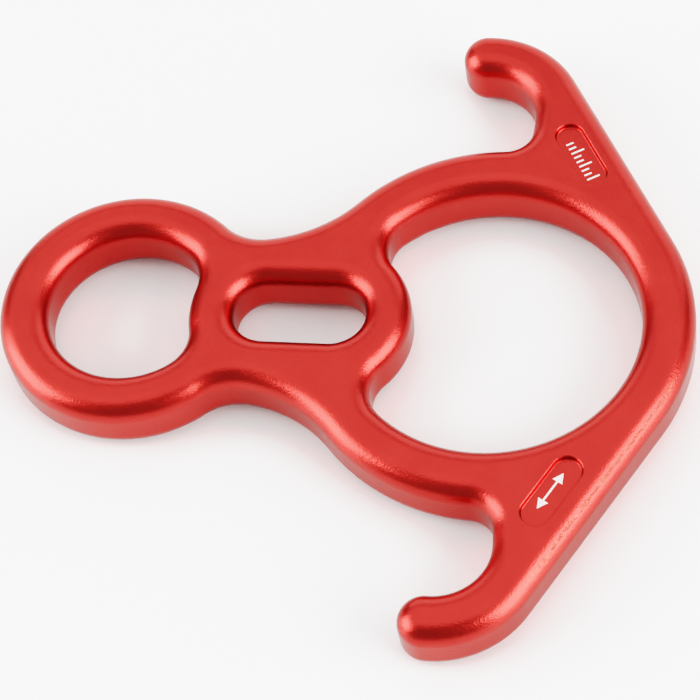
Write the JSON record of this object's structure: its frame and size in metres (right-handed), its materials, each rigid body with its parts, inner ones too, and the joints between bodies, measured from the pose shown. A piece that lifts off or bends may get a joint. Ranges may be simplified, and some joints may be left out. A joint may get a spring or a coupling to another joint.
{
  "type": "rope descender",
  "caption": "Flat figure-eight rope descender in red anodised aluminium, with a big rope eye, a small connector eye, a slot in the web and hooked ears.",
  "frame": {"origin": "on the underside, under the middle of the bounding box, which is on the long centre line inside the web between the slot and the big eye", "axes": "+Z out of the flat upper face, +X along the centre line from the small eye towards the big eye, +Y across towards one ear"},
  "size_m": [0.1498, 0.1506, 0.014],
  "materials": {
    "anodised_body": "satin red anodising on fine-blasted forged aluminium",
    "etched_marking": "pale laser marking burnt through the anodising"
  },
  "bodies": {
    "root": {"descender_body": "anodised_body"}
  },
  "joints": []
}
